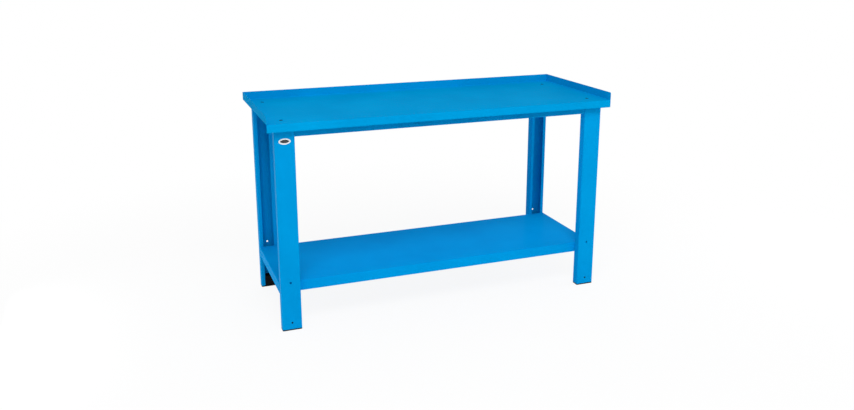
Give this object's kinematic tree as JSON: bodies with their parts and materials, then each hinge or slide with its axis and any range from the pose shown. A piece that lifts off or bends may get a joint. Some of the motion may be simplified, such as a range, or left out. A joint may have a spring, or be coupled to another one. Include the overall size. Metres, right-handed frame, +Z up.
{
  "type": "assembly table",
  "caption": "Free-standing workshop assembly table in blue folded sheet steel: a rimmed top on lipped channel legs, a lower shelf and black plastic feet.",
  "frame": {"origin": "centre of the table's bounding box, on the floor under the feet", "axes": "+X along the table's length to the right as seen from the front lip, +Y to the rear rim, +Z up"},
  "size_m": [1.5, 0.58, 0.894],
  "materials": {
    "blue_top": "semi-gloss powder coat",
    "blue_frame": "semi-gloss powder coat",
    "blue_shelf": "semi-gloss powder coat",
    "black_plastic": "matt moulded",
    "zinc_steel": "zinc plated",
    "dark_steel": "black oxide"
  },
  "bodies": {
    "root": {"table_top": "blue_top", "front_top_stiffener": "blue_frame", "rear_top_stiffener": "blue_frame", "front_left_leg": "blue_frame", "front_right_leg": "blue_frame", "rear_left_leg": "blue_frame", "rear_right_leg": "blue_frame", "front_left_foot": "black_plastic", "front_right_foot": "black_plastic", "rear_left_foot": "black_plastic", "rear_right_foot": "black_plastic", "front_rail": "blue_frame", "rear_rail": "blue_frame", "left_end_rail": "blue_frame", "right_end_rail": "blue_frame", "lower_shelf": "blue_shelf", "shelf_stiffener": "blue_frame", "front_left_shelf_screw_inner": "zinc_steel", "front_left_shelf_screw_outer": "zinc_steel", "front_right_shelf_screw_inner": "zinc_steel", "front_right_shelf_screw_outer": "zinc_steel", "rear_left_shelf_screw_inner": "zinc_steel", "rear_left_shelf_screw_outer": "zinc_steel", "rear_right_shelf_screw_inner": "zinc_steel", "rear_right_shelf_screw_outer": "zinc_steel", "front_left_rail_bolt_lower": "zinc_steel", "front_left_rail_bolt_upper": "zinc_steel", "front_right_rail_bolt_lower": "zinc_steel", "front_right_rail_bolt_upper": "zinc_steel", "rear_left_rail_bolt_lower": "zinc_steel", "rear_left_rail_bolt_upper": "zinc_steel", "rear_right_rail_bolt_lower": "zinc_steel", "rear_right_rail_bolt_upper": "zinc_steel", "front_left_rail_nut_lower": "zinc_steel", "front_left_rail_nut_upper": "zinc_steel", "front_right_rail_nut_lower": "zinc_steel", "front_right_rail_nut_upper": "zinc_steel", "rear_left_rail_nut_lower": "zinc_steel", "rear_left_rail_nut_upper": "zinc_steel", "rear_right_rail_nut_lower": "zinc_steel", "rear_right_rail_nut_upper": "zinc_steel", "front_left_top_screw": "dark_steel", "front_right_top_screw": "dark_steel", "rear_left_top_screw": "dark_steel", "rear_right_top_screw": "dark_steel", "front_left_top_nut": "zinc_steel", "front_right_top_nut": "zinc_steel", "rear_left_top_nut": "zinc_steel", "rear_right_top_nut": "zinc_steel"}
  },
  "joints": []
}
